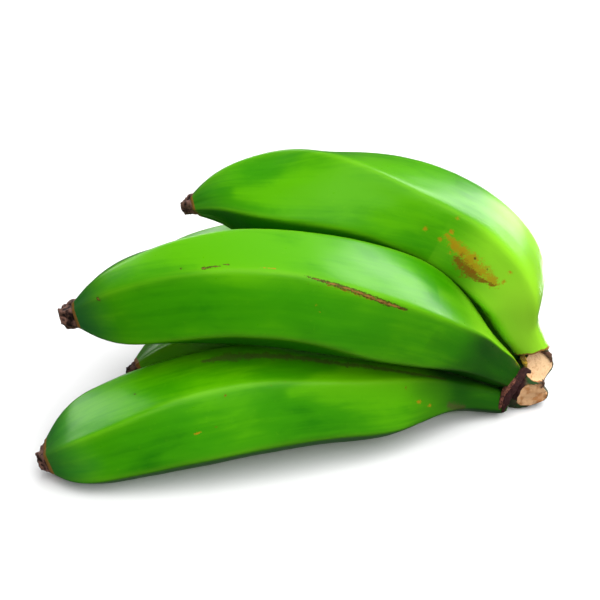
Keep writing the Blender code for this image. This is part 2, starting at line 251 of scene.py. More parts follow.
class PeelSettings(bpy.types.PropertyGroup):
    """Sizes and colours of the fingers."""

    stations: bpy.props.IntProperty(
        name="Stations", description="Cross-sections along a front finger", default=340, min=24, max=480)
    corners: bpy.props.IntProperty(
        name="Corners", description="Corners of a front finger's cross-section", default=200, min=16, max=256)
    ridge: bpy.props.FloatProperty(
        name="Ridges", description="0 is a round finger, 1 is one with full ridges",
        default=0.80, min=0.0, max=1.0, subtype="FACTOR")
    keen_tip: bpy.props.FloatProperty(
        name="Keenness at the tip", description="How tight the ridges are near the flower end",
        default=30.0, min=4.0, max=60.0)
    unevenness: bpy.props.FloatProperty(
        name="Unevenness", description="How far the skin swells and dips",
        default=0.45 * MM, min=0.0, max=2 * MM, unit="LENGTH", precision=5)
    roughness: bpy.props.FloatProperty(
        name="Roughness", description="Roughness of the waxy skin",
        default=0.30, min=0.0, max=1.0, subtype="FACTOR")
    # Lighter mottling, and also painted light on the tops and on the rear fingers that lie in shade
    bright: tint("Bright green", "The lighter green of the peel", 0.09, 0.4, 0.0)
    deep: tint("Deep green", "The darker green of the peel", 0.036, 0.27, 0.0)
    # Painted shade: the undersides, darkened by the side tones, are painted this green, and dips in the
    # mottling reach it too
    mottle_and_painted_shade_green: tint("Shaded green", "Green of the sides that grew in the shade", 0.008, 0.16, 0.0)
    # Painted highlight: the yellower green along the ridges stands in for the light they catch, and random
    # flecks use it too
    ridge_highlight_and_fleck_green: tint("Ridge green", "Yellower green along the ridges", 0.2, 0.52, 0.01)
    neck_green: tint("Neck green", "Dark green of the necks", 0.006, 0.062, 0.003)
    # Painted light: this pale green is painted on the upper finger's neck, and as a painted highlight on the
    # middle finger's top side near the crown
    painted_light_green: tint("Pale green", "Yellowish green of the palest neck", 0.4, 0.88, 0.03)
    tip_green: tint("Tip green", "Bluish green at the flower end", 0.014, 0.15, 0.03)
    blotch: tint("Blotch", "Orange blemishes", 0.48, 0.19, 0.002)
    rust: tint("Rust", "Dark red-brown blemishes", 0.2, 0.055, 0.003)
    # Rubbed brown skin, and also a painted shadow along the lower finger's top under the middle finger
    scuff_and_painted_shadow: tint("Scuff", "Dusty brown rubbed skin", 0.07, 0.062, 0.02)
    scar: tint("Scar", "Dry tan of a healed scratch", 0.3, 0.145, 0.03)
    dark: tint("Dark edge", "Edge of a scar and the small specks", 0.055, 0.018, 0.006)


class CrownSettings(bpy.types.PropertyGroup):
    """Sizes and colours of the crown."""

    levels: bpy.props.IntProperty(
        name="Levels", description="Level slices of the crown", default=200, min=20, max=300)
    corners: bpy.props.IntProperty(
        name="Corners", description="Corners of a slice", default=240, min=16, max=320)
    roughness_of_cut: bpy.props.FloatProperty(
        name="Roughness of the cuts", description="How far the cut faces rise and fall",
        default=0.35 * MM, min=0.0, max=2 * MM, unit="LENGTH", precision=5)
    flesh: tint("Cut flesh", "Light tan of the cut faces", 0.88, 0.59, 0.33)
    flesh_dark: tint("Dried flesh", "Orange brown of the cuts' edges", 0.48, 0.19, 0.055)
    skin: tint("Skin", "Dull green skin between the cuts", 0.03, 0.085, 0.022)
    bark: tint("Bark", "Grey brown dried skin", 0.12, 0.07, 0.045)
    dried: tint("Dried rim", "Dark purple brown of the dried rim", 0.034, 0.012, 0.012)
    reddish: tint("Reddish edge", "Reddish brown beside the dried rim", 0.26, 0.095, 0.06)
    yellowed: tint("Yellowed rim", "Yellow brown torn peel beside the upper cut", 0.62, 0.38, 0.04)


class FlowerSettings(bpy.types.PropertyGroup):
    """Sizes and colours of the dried flower ends."""

    stations: bpy.props.IntProperty(
        name="Stations", description="Cross-sections along a flower end", default=90, min=8, max=160)
    corners: bpy.props.IntProperty(
        name="Corners", description="Corners of its cross-section", default=150, min=12, max=240)
    crumple: bpy.props.FloatProperty(
        name="Crumple", description="How far the dry folds stand out",
        default=0.9 * MM, min=0.0, max=3 * MM, unit="LENGTH", precision=5)
    # Painted shade: the hollows of the folds are painted this near black, and the ragged end also takes this
    # colour
    dark: tint("Dark", "The hollows of the dry folds", 0.014, 0.007, 0.006)
    # Painted highlight: the raised folds are painted this lighter brown
    light: tint("Light", "The raised dry folds", 0.17, 0.085, 0.062)
    foot: tint("Foot", "The tan skin where it meets the finger", 0.4, 0.23, 0.13)


class StageSettings(bpy.types.PropertyGroup):
    """Floor, light and camera."""

    floor_width: bpy.props.FloatProperty(
        name="Floor width", description="Side of the square floor",
        default=12.0, min=2.0, max=40.0, unit="LENGTH")
    floor: tint("Floor", "Colour of the floor", 0.94, 0.94, 0.94)
    front_light: brightness("Front light", "broad light from above the camera", 3.9)
    rear_light: brightness("Rear light", "broad light from behind", 1.3)
    side_light: brightness("Side light", "broad light from the right", 0.5)
    low_light: brightness("Low light", "soft light that a pale table throws back", 0.5)
    right_panel: brightness("Right panel", "panel that the skin reflects at the right", 10.5, 100.0)
    low_panel: brightness("Low panel", "panel that the skin reflects low at the right", 6.0, 100.0)
    far_panel: brightness("Far panel", "panel that the skin reflects far behind", 4.5, 100.0)
    left_panel: brightness("Left panel", "panel that the skin reflects at the left", 6.5, 100.0)
    sky: brightness("Sky", "even light from all round", 0.08, 2.0)


def spline(knots, values, at):
    """Natural cubic spline through the rows of values at knots, read at the given places."""
    knots = np.asarray(knots, float)
    values = np.asarray(values, float)
    count = len(knots)
    step = np.diff(knots)
    matrix = np.eye(count)
    right = np.zeros_like(values)
    for i in range(1, count - 1):
        matrix[i, i - 1:i + 2] = step[i - 1], 2 * (step[i - 1] + step[i]), step[i]
        right[i] = 6 * ((values[i + 1] - values[i]) / step[i] - (values[i] - values[i - 1]) / step[i - 1])
    bend = np.linalg.solve(matrix, right)
    k = np.clip(np.searchsorted(knots, at) - 1, 0, count - 2)
    width = step[k][:, None]
    a = (knots[k + 1] - at)[:, None] / width
    b = 1 - a
    curve = ((a**3 - a) * bend[k] + (b**3 - b) * bend[k + 1]) * width**2 / 6
    return a * values[k] + b * values[k + 1] + curve


def together(*values):
    """Values side by side on a last axis."""
    return np.stack(np.broadcast_arrays(*values), -1)


def unit(vectors):
    """The same directions at length 1."""
    return vectors / np.maximum(1e-9, np.linalg.norm(vectors, axis=-1, keepdims=True))


def along(route, share):
    """A smooth line through the route at shares of its length, its radius there, and its length."""
    route = np.asarray(route, float)
    reach = np.r_[0, np.cumsum(np.linalg.norm(np.diff(route[:, :3], axis=0), axis=1))]
    fine = spline(reach, route, np.linspace(0, reach[-1], 1200))
    arc = np.r_[0, np.cumsum(np.linalg.norm(np.diff(fine[:, :3], axis=0), axis=1))]
    line = together(*(np.interp(share * arc[-1], arc, column) for column in fine.T))
    return line[:, :3], line[:, 3], arc[-1]


def carried_axes(centre):
    """Two normals carried along a line, the first of them upward at its far end."""
    ahead = unit(np.gradient(centre, axis=0))
    up = np.zeros_like(ahead)
    last = np.array((0.0, 0.0, 1.0))
    for i in range(len(ahead) - 1, -1, -1):
        last = unit(last - (last @ ahead[i]) * ahead[i])
        up[i] = last
    return up, np.cross(up, ahead)


def around(corners):
    """Angles of a section's corners, evenly spaced over one turn."""
    return np.linspace(0, 2 * math.pi, corners, endpoint=False)


def tube_rings(centre, radius, outline):
    """Point = centre + radius * outline * (cos angle * up + sin angle * side), ring by ring."""
    up, side = carried_axes(centre)
    angle = around(outline.shape[-1])
    spoke = np.cos(angle)[:, None] * up[:, None] + np.sin(angle)[:, None] * side[:, None]
    return centre[:, None] + spoke * (radius[:, None] * outline)[..., None]


def scatter(points, size, seed):
    """Smooth random values from -1 to 1: fixed numbers at the corners of cubes of the given
    size, blended between the corners by 3t^2 - 2t^3."""
    cell = np.asarray(points, float) / size
    corner = np.floor(cell).astype(np.int64)
    part = cell - corner
    part = part * part * (3 - 2 * part)
    total = np.zeros(cell.shape[:-1])
    for step in np.ndindex(2, 2, 2):
        x, y, z = np.moveaxis(corner + step, -1, 0)
        number = x * 73856093 ^ y * 19349663 ^ z * 83492791 ^ seed * 2654435761
        number = (number ^ number >> 13) * 1274126177 & 0xFFFFFFFF
        number = (number ^ number >> 16) & 0xFFFF
        weight = np.prod(np.where(step, part, 1 - part), -1)
        total += weight * (number / 32767.5 - 1)
    return total


def smooth(value, low, high):
    """3t^2 - 2t^3, where t goes from 0 at low to 1 at high."""
    t = np.clip((value - low) / (high - low), 0, 1)
    return t * t * (3 - 2 * t)


def closed_skin(name, rings, fields):
    """A closed mesh over rings of points in millimetres, with a point over each end.

    fields are named values for each point, one or three numbers, kept as attributes.  The
    UV map runs once round the section and once along the piece."""
    count, sides = rings.shape[:2]
    points = (np.vstack([rings.reshape(-1, 3), rings[0].mean(0), rings[-1].mean(0)]) - MIDDLE) * MM
    i, j = np.meshgrid(np.arange(count - 1), np.arange(sides), indexing="ij")
    k = (j + 1) % sides
    quads = together(i * sides + j, i * sides + k, (i + 1) * sides + k, (i + 1) * sides + j).reshape(-1, 4)
    u, v = j / sides, i / (count - 1)
    du, dv = 1 / sides, 1 / (count - 1)
    quad_uv = together(u, v, u + du, v, u + du, v + dv, u, v + dv).reshape(-1, 4, 2)
    j, k, u = j[0], k[0], u[0]
    last = (count - 1) * sides
    fans = np.vstack([together(count * sides, k, j), together(count * sides + 1, last + j, last + k)])
    fan_uv = np.vstack([
        together(u + du / 2, 0, u + du, 0, u, 0), together(u + du / 2, 1, u, 1, u + du, 1)]).reshape(-1, 3, 2)
    corner = points[quads]
    facing = np.cross(corner[:, 2] - corner[:, 0], corner[:, 3] - corner[:, 1])
    volume = ((corner[:, 0] - points.mean(0)) * facing).sum()
    if volume < 0:
        quads, fans, quad_uv, fan_uv = (part[:, ::-1] for part in (quads, fans, quad_uv, fan_uv))
    mesh = bpy.data.meshes.new(name)
    mesh.from_pydata(points.tolist(), [], quads.tolist() + fans.tolist())
    uv = np.vstack([quad_uv.reshape(-1, 2), fan_uv.reshape(-1, 2)])
    mesh.uv_layers.new(name="around_and_along").data.foreach_set("uv", uv.astype(np.float32).ravel())
    for title, values in fields.items():
        values = np.asarray(values, float).reshape(count, sides, -1)
        whole = np.vstack([values.reshape(count * sides, -1), values[0].mean(0), values[-1].mean(0)])
        kind, key = ("FLOAT_VECTOR", "vector") if whole.shape[1] == 3 else ("FLOAT", "value")
        mesh.attributes.new(title, kind, "POINT").data.foreach_set(key, whole.astype(np.float32).ravel())
    mesh.shade_smooth()
    piece = bpy.data.objects.new(name, mesh)
    bpy.context.scene.collection.objects.link(piece)
    return piece


def dress(piece, material, solid):
    """Gives a piece its material and its place in the frame, in a solid's stead."""
    piece.data.materials.append(material)
    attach(piece, "root")
    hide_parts(solid)


class Finish:
    """A material made of nodes.  Most methods add a node and give its output."""

    def __init__(self, name):
        self.material = bpy.data.materials.new(name)
        self.material.use_nodes = True
        self.tree = self.material.node_tree
        self.shader = self.tree.nodes["Principled BSDF"].inputs
        self.places = self.node("ShaderNodeTexCoord").outputs["Object"]

    def wire(self, socket, value):
        """Links a socket, or sets its number or colour."""
        if isinstance(value, bpy.types.NodeSocket):
            self.tree.links.new(value, socket)
        else:
            socket.default_value = value

    def node(self, kind, settings=None, inputs=None):
        """A new node with its settings, and its inputs linked or set by name or number."""
        made = self.tree.nodes.new(kind)
        for key, value in (settings or {}).items():
            setattr(made, key, value)
        for key, value in (inputs or {}).items():
            self.wire(made.inputs[key], value)
        return made

    def noise(self, vector, scale, detail, roughness=0.55, distortion=0.0):
        """Fractal noise, from 0 to 1, about 0.5 on average."""
        return self.node("ShaderNodeTexNoise", None, {
            "Vector": vector, "Scale": scale, "Detail": detail,
            "Roughness": roughness, "Distortion": distortion,
        }).outputs["Fac"]

    def stretch(self, vector, scale):
        """The same places, stretched along each axis."""
        return self.node("ShaderNodeMapping", None, {"Vector": vector, "Scale": scale}).outputs["Vector"]

    def maths(self, operation, *numbers):
        """One arithmetic step."""
        made = self.node("ShaderNodeMath", {"operation": operation}, dict(enumerate(numbers)))
        return made.outputs["Value"]

    def times(self, first, second):
        """Product of two numbers."""
        return self.maths("MULTIPLY", first, second)

    def plus(self, first, second):
        """Sum of two numbers."""
        return self.maths("ADD", first, second)

    def frayed(self, value, grain, width):
        """A value whose edge a noise breaks up: value + width (grain - 1/2)."""
        return self.plus(value, self.maths("MULTIPLY_ADD", grain, width, -width / 2))

    def rise(self, value, low, high, to_low=0.0, to_high=1.0):
        """A smooth rise from one value to another between low and high."""
        return self.node("ShaderNodeMapRange", {"interpolation_type": "SMOOTHSTEP"}, {
            "Value": value, "From Min": low, "From Max": high, "To Min": to_low, "To Max": to_high,
        }).outputs["Result"]

    def blend(self, share, first, second):
        """A colour between two others, each an output or its red, green and blue."""
        made = self.node("ShaderNodeMix", {"data_type": "RGBA"}, {"Factor": share})
        for socket, value in ((made.inputs[6], first), (made.inputs[7], second)):
            self.wire(socket, value if isinstance(value, bpy.types.NodeSocket) else (*value, 1.0))
        return made.outputs[2]

    def attribute(self, title, output):
        """What a piece keeps under a title, as a vector or as one number."""
        return self.node("ShaderNodeAttribute", {"attribute_name": title}).outputs[output]

    def field(self, title):
        """The three numbers that a piece keeps under a title."""
        vector = self.attribute(title, "Vector")
        return self.node("ShaderNodeSeparateXYZ", None, {"Vector": vector}).outputs

    def surface(self, base, roughness, shine):
        """Sets the colour, the roughness and the strength of the shine."""
        self.wire(self.shader["Base Color"], base)
        self.wire(self.shader["Roughness"], roughness)
        self.wire(self.shader["Specular IOR Level"], shine)

    def bump(self, height, strength, distance):
        """Small relief from a height."""
        made = self.node("ShaderNodeBump", None, {
            "Height": height, "Strength": strength, "Distance": distance})
        self.wire(self.shader["Normal"], made.outputs["Normal"])


def peel_material(look):
    """Waxy green peel: mottled and streaked lengthwise, with marks.  Its colour also holds painted light and
    shade: sides painted lighter on top and darker underneath, a yellower painted highlight along the ridges,
    pale painted light near the crown on the upper and middle fingers, the rear fingers painted lighter, and a
    painted shadow under the middle finger.
    """
    f = Finish("plantain_peel")
    lane = f.attribute("lane", "Vector")
    tone = f.attribute("tone", "Fac")
    ridge, neck, tip = f.field("tint")
    blotch, rust, scuff_and_painted_shadow = f.field("stains")
    scar, speck, rim = f.field("wounds")
    broad = f.noise(f.places, 16.0, 2.0)
    patchy = f.noise(f.stretch(lane, (2.6, 2.6, 1.6)), 1.0, 3.0, 0.6, 0.4)
    lengthwise = f.noise(f.stretch(lane, (9.0, 9.0, 0.5)), 1.0, 4.0, 0.6)
    coarse = f.noise(f.places, 300.0, 2.0, 0.6)
    fine = f.noise(f.places, 420.0, 3.0, 0.6)
    ragged = f.noise(f.places, 900.0, 3.0, 0.65)
    fleck = f.noise(f.places, 1100.0, 2.0, 0.7, 0.8)
    shade = f.plus(f.times(broad, 0.51), f.times(patchy, 0.30))
    shade = f.plus(shade, f.times(lengthwise, 0.19))
    # tone carries the painted light and shade of each side and the painted light of the rear fingers, besides
    # random tone and lighter patches
    shade = f.maths("MULTIPLY_ADD", tone, 0.14, shade)
    # Painted shade: low values, mostly on the undersides, take the darkest green, and high ones, mostly on
    # top and on the rear fingers, take the lightest green as painted light
    skin = f.blend(f.rise(shade, 0.30, 0.52), look.mottle_and_painted_shade_green, look.deep)
    skin = f.blend(f.rise(shade, 0.50, 0.72), skin, look.bright)
    # Painted highlight along the ridges
    skin = f.blend(f.times(ridge, f.rise(lengthwise, 0.2, 0.6, 0.08, 0.28)), skin, look.ridge_highlight_and_fleck_green)
    skin = f.blend(f.times(f.rise(neck, 0.0, 1.0), 0.92), skin, look.neck_green)
    # Painted light: negative neck values paint the pale green
    skin = f.blend(f.times(f.rise(neck, 0.0, -1.0), 0.8), skin, look.painted_light_green)
    skin = f.blend(f.times(tip, 0.85), skin, look.tip_green)
    skin = f.blend(f.times(f.rise(fine, 0.62, 0.78), 0.12), skin, look.ridge_highlight_and_fleck_green)
    for mark, stain, soft, strength, wander in (
        (scuff_and_painted_shadow, look.scuff_and_painted_shadow, 0.6, 0.65, coarse), (blotch, look.blotch, 0.7, 0.72, coarse),
        (rust, look.rust, 0.6, 0.82, coarse), (scar, look.dark, 0.25, 0.85, ragged),
    ):
        edge = f.plus(mark, f.maths("MULTIPLY_ADD", wander, 1.5, -0.8))
        edge = f.frayed(edge, fleck, 2.4)
        skin = f.blend(f.times(f.rise(edge, 0.0, soft), strength), skin, stain)
    skin = f.blend(f.rise(f.frayed(scar, ragged, 0.9), 0.45, 0.8), skin, look.scar)
    skin = f.blend(f.times(f.rise(f.frayed(speck, ragged, 0.8), 0.05, 0.5), 0.85), skin, look.dark)
    skin = f.blend(f.rise(f.frayed(rim, ragged, 0.8), 0.3, 0.7), skin, look.scar)
    hurt = f.maths("MAXIMUM", f.maths("MAXIMUM", scar, rust), f.maths("MAXIMUM", blotch, scuff_and_painted_shadow))
    gloss = f.maths("MULTIPLY_ADD", fine, 0.12, look.roughness - 0.06)
    f.surface(skin, f.plus(gloss, f.rise(hurt, 0.0, 0.8, 0.0, 0.3)), 0.20)
    relief = f.plus(f.times(lengthwise, 0.22), f.times(fine, 0.25))
    f.bump(f.plus(relief, f.rise(hurt, 0.0, 0.6, 0.0, -0.35)), 0.25, 0.0006)
    return f.material


def crown_material(look):
    """Cut and dried plant tissue: light fibrous flesh, dull green skin, bark and dark rim."""
    f = Finish("crown_tissue")
    flesh, dried, red = f.field("tissue")
    green, pit, curl = f.field("surface")
    broad = f.noise(f.places, 160.0, 3.0, 0.6, 0.6)
    grain = f.noise(f.places, 700.0, 4.0, 0.65, 1.2)
    swirl = f.noise(f.places, 260.0, 3.0, 0.6, 2.6)
    skin = f.blend(f.rise(broad, 0.35, 0.65), look.bark, look.skin)
    skin = f.blend(f.times(green, 0.9), skin, look.skin)
    meat = f.blend(f.rise(swirl, 0.30, 0.48, 0.55, 0.0), look.flesh, look.flesh_dark)
    meat = f.blend(f.rise(grain, 0.60, 0.80, 0.0, 0.4), meat, look.flesh_dark)
    meat = f.blend(f.times(pit, 0.9), meat, look.flesh_dark)
    edge = f.frayed(flesh, grain, 0.7)
    skin = f.blend(f.rise(edge, 0.15, 0.40), skin, look.flesh_dark)
    skin = f.blend(f.rise(edge, 0.45, 0.75), skin, meat)
    skin = f.blend(red, skin, f.blend(f.rise(grain, 0.35, 0.65), look.reddish, look.dried))
    skin = f.blend(curl, skin, f.blend(f.rise(swirl, 0.35, 0.6), look.bark, look.yellowed))
    rind = f.blend(f.rise(grain, 0.54, 0.78, 0.0, 0.65), look.dried, look.reddish)
    skin = f.blend(f.rise(f.frayed(dried, broad, 0.8), 0.35, 0.65), skin, rind)
    f.surface(skin, f.rise(grain, 0.3, 0.7, 0.6, 0.85), 0.35)
    f.bump(f.plus(grain, f.times(swirl, 0.8)), 0.5, 0.0008)
    return f.material


def flower_material(look):
    """Dry crumpled flower: its hollows painted dark as painted shade, its raised folds painted greyish brown
    as a painted highlight, tan at its foot.
    """
    f = Finish("dried_flower_crumple")
    raised, foot, end = f.field("folds")
    grain = f.noise(f.places, 900.0, 4.0, 0.65, 0.8)
    # Painted highlight on the raised folds and painted shade in the hollows
    skin = f.blend(f.rise(f.frayed(raised, grain, 0.7), 0.42, 0.85), look.dark, look.light)
    skin = f.blend(f.times(foot, 0.75), skin, look.foot)
    skin = f.blend(f.times(end, 0.6), skin, look.dark)
    f.surface(skin, f.rise(grain, 0.3, 0.7, 0.65, 0.9), 0.3)
    f.bump(grain, 0.6, 0.0008)
    return f.material


def floor_material(look):
    """Plain matt floor."""
    f = Finish("pale_floor")
    f.surface((*look.floor, 1.0), 1.0, 0.0)
    return f.material


def ridged_outline(angle, ridges, keen, strength):
    """Distance to a rounded polygon whose corners lie at the ridges, station by station.

    Each side faces the direction halfway between two ridges.  With f the cosine of the angle
    from that direction over its value at the ridge, the distance is (sum of f^keen)^(-1/keen),
    and strength mixes it with a circle."""
    corner = np.sort(np.radians(ridges) % (2 * math.pi), axis=1)
    following = np.c_[corner[:, 1:], corner[:, :1] + 2 * math.pi]
    middle = (corner + following)[:, None] / 2
    half = (following - corner)[:, None] / 2
    facing = np.maximum(1e-6, np.cos(angle[None, :, None] - middle)) / np.cos(half)
    keen = keen[:, None, None]
    outline = (facing**keen).sum(2) ** (-1 / keen[..., 0])
    return 1 + strength[:, None] * (outline / outline.mean(1)[:, None] - 1)


def facet_tone(angle, ridges, tones, soft=0.12):
    """A tone for each side of the section, changing over a soft share of a side at its ridge.

    The sides are counted from the first ridge on, and a corner's place is the number of
    ridges that it has passed, each as a smooth step."""
    base = ridges[:, :1]
    since = (np.degrees(angle)[None] - base + 360) % 360
    corner = np.sort((ridges - base) % 360, axis=1)
    width = np.diff(np.c_[corner, np.full(len(corner), 360.0)], axis=1)
    tones = np.asarray(tones, float)
    tone = np.full(since.shape, tones[0])
    for k in range(1, len(tones)):
        reach = (soft * np.minimum(width[:, k - 1], width[:, k]))[:, None]
        step = smooth(since, corner[:, k:k + 1] - reach, corner[:, k:k + 1] + reach)
        tone = tone + (tones[k] - tones[k - 1]) * step
    reach = (soft * np.minimum(width[:, -1], width[:, 0]))[:, None]
    tone = tone + (tones[0] - tones[-1]) / 2 * smooth(since, 360 - reach, 360)
    return tone + (tones[-1] - tones[0]) / 2 * (1 - smooth(since, 0, reach))


def nearest_ridge(angle, ridges):
    """Angle from each corner of the section to the nearest ridge, in radians."""
    apart = angle[None, :, None] - np.radians(ridges)[:, None]
    return np.abs((apart + math.pi) % (2 * math.pi) - math.pi).min(2)


def stroke_field(strokes, place, angle, radius):
    """1 on a stroke's line, 0 at its half width and -1 far off, over the whole finger.

    The distance runs over the unrolled skin: along, and around as angle times radius."""
    best = np.full(np.broadcast(place, angle).shape, -1.0)
    for stroke in strokes:
        line = np.array(stroke if isinstance(stroke, list) else [stroke, stroke], float)
        line[-1, 0] += 0.01
        for (s0, a0, w0), (s1, a1, w1) in zip(line[:-1], line[1:]):
            off = (angle - math.radians(a0) + math.pi) % (2 * math.pi) - math.pi
            x, y = place - s0, off * radius
            dx, dy = s1 - s0, math.radians(a1 - a0) * radius
            t = np.clip((x * dx + y * dy) / (dx * dx + dy * dy), 0, 1)
            far = np.hypot(x - t * dx, y - t * dy)
            best = np.maximum(best, 1 - far / (w0 + (w1 - w0) * t))
    return best


def slice_off(points, cut, deeper=0.0):
    """Presses what lies in front of a round knife cut back onto its plane.

    Returns the points, how far inside the cut each lies (1 inside, 0 outside, over one
    millimetre), and the cut's direction."""
    at, facing, radius = cut
    centre = crown_place(at)
    direction = unit(np.array(facing) @ CROWN_AXES)
    height = (points - centre) @ direction + deeper
    aside = np.linalg.norm(points - centre - (height - deeper)[..., None] * direction, axis=-1)
    ragged = radius + 0.7 * scatter(points, 3.0, 11) + 0.35 * scatter(points, 1.1, 12)
    pressed = np.maximum(height, 0) * smooth(ragged - aside, 0.0, 0.9)
    points = points - pressed[..., None] * direction
    inside = smooth(ragged - aside, -0.2, 0.9) * smooth(height, -0.6, 0.1)
    return points, inside, direction


def end_level(points, cut):
    """Presses what lies beyond a level cut back onto it, along the cut's direction.

    Returns the points, and how near its ragged edge each lies, from 0 to 1."""
    at, facing = cut
    direction = unit(np.array(facing) @ CROWN_AXES)
    ragged = 0.8 * scatter(points * (1, 1, 0), 3.0, 13) + 0.5 * scatter(points * (1, 1, 0), 1.2, 14)
    height = (points - crown_place(at)) @ direction + ragged
    return points - np.maximum(height, 0)[..., None] * direction, smooth(height, -1.6, -0.5)


def crown_place(at):
    """A point from the crown's own axes: out, up, back."""
    return CROWN_AT + np.asarray(at) @ CROWN_AXES


def press_flat(points):
    """Nothing reaches below the table."""
    points[..., 2] = np.maximum(points[..., 2], 0.0)
    return points


def finger_skin(name, look, stations, corners, seed):
    """One finger: a ridged section along the route, uneven, with domed ends and marks.

    Stations crowd at the ends: share = t - 0.06 sin(2 pi t).  The radius is the route's, times
    the ridged outline, plus a slow unevenness and a low cord on each ridge."""
    route, ridge_rows = FINGERS[name]
    even = np.linspace(0, 1, stations)
    share = even - 0.06 * np.sin(2 * math.pi * even)
    centre, radius, length = along(route, share)
    angle = around(corners)
    ridges = spline(RIDGE_PLACES, np.array(ridge_rows).T, share)
    # light is painted light, added to the finger's tone
    neck_dark_and_painted_pale, neck_reach, blue, keen_middle, light = TURNS[name]
    keen = keen_middle + (look.keen_tip - keen_middle) * smooth(share, 0.72, 0.95)
    keen = keen - 8 * smooth(share, 0.22, 0.05)
    strength = look.ridge * (1 - 0.35 * smooth(share, 0.2, 0.02))
    outline = ridged_outline(angle, ridges, keen, strength)
    place = (share * length)[:, None]
    lane = together(np.cos(angle), np.sin(angle), place / 40)
    to_ridge = nearest_ridge(angle, ridges) * radius[:, None]
    swell = look.unevenness / MM * (scatter(lane, 0.8, seed) + 0.4 * scatter(lane, 0.3, seed + 1))
    cord = 0.006 * keen_middle * np.exp(-(to_ridge / 1.5) ** 2) * smooth(share, 0.05, 0.25)[:, None]
    pleat = 0.22 * scatter(lane * (3.5, 3.5, 1.0), 0.6, seed + 2) * smooth(share, 0.90, 0.98)[:, None]
    calm = np.clip(radius / 20, 0.3, 1)[:, None]
    rings = tube_rings(centre, np.ones(stations), radius[:, None] * outline + swell * calm + cord + pleat)
    if name == "plantain_upper":   # its neck flares where it leaves the crown
        flare = 1 + 0.16 * np.exp(-(place / 5.0) ** 2)
        rings = centre[:, None] + (rings - centre[:, None]) * flare[..., None]
    neck = neck_dark_and_painted_pale * (1 - smooth(share, neck_reach * 0.35, neck_reach))[:, None]
    neck = neck + 0.25 * neck_dark_and_painted_pale * scatter(lane, 0.5, seed + 3) * (np.abs(neck) > 0.02)
    if name == "plantain_middle":   # its top side is painted pale up to the crown as a painted highlight, and its dark neck stays on the lower sides
        neck = neck * (1 - 1.9 * smooth(facet_tone(angle, ridges, (1, 0, 0, 0, 0)), 0.2, 0.8))
    tip = blue * smooth(share[:, None] + 0.02 * scatter(lane, 0.5, seed + 4), 0.88, 0.99)
    # Where the painted highlight along the ridges falls
    ridge = np.exp(-(to_ridge / 1.6) ** 2) + 0.25 * np.exp(-(to_ridge / 5.0) ** 2)
    rim = smooth(place - length, -1.3, -0.3)
    marks = {
        kind: stroke_field(strokes, place, angle[None], radius[:, None])
        for kind, strokes in MARKS[name].items()
    }
    if name == "plantain_upper":
        rings, torn = end_level(rings, NECK_CUT)
        rings, inside, _ = slice_off(rings, UPPER_CUT, 0.4)
        rim = np.maximum(rim, np.maximum(inside, torn))
    # tone holds the painted light and shade of each side, a random tone, and the painted light that lightens
    # some fingers
    tone = facet_tone(angle, ridges, PAINTED_LIGHT_AND_SHADE_BY_SIDE) + 0.25 * scatter(lane, 0.7, seed + 5) + light
    tone = tone + 1.1 * smooth(marks.get("lighter_patch", -1.0), -0.95, 1.0)
    fields = {
        "lane": lane,
        "tone": tone,
        "tint": together(ridge, neck, tip),
        "stains": together(marks["blotch"], marks["rust"], marks["scuff_and_painted_shadow"]),
        "wounds": together(marks["scar"], marks["speck"], rim),
    }
    rings, fields = domed(rings, fields, (1.0, 0.93, 0.72, 0.4), 0.35)
    return closed_skin(name + "_peel", press_flat(rings), fields)


def domed(rings, fields, dome, press):
    """Adds rings at both ends that draw in to a point: dome is each ring's share of the last
    one, and press is how far out they bulge."""
    dome = np.array(dome)
    ends = []
    for ring, beside in ((rings[0], rings[1]), (rings[-1], rings[-2])):
        middle = ring.mean(0)
        out = unit(middle - beside.mean(0))
        size = np.linalg.norm(ring - middle, axis=1).mean()
        rise = np.sqrt(np.maximum(0, 1 - dome**2)) * size * press
        ends.append(middle + (ring - middle) * dome[:, None, None] + out * rise[:, None, None])
    rings = np.concatenate([ends[0][:0:-1], rings, ends[1][1:]])
    grown = {}
    for title, values in fields.items():
        more = len(dome) - 1
        grown[title] = np.concatenate([values[:1].repeat(more, 0), values, values[-1:].repeat(more, 0)])
    return rings, grown


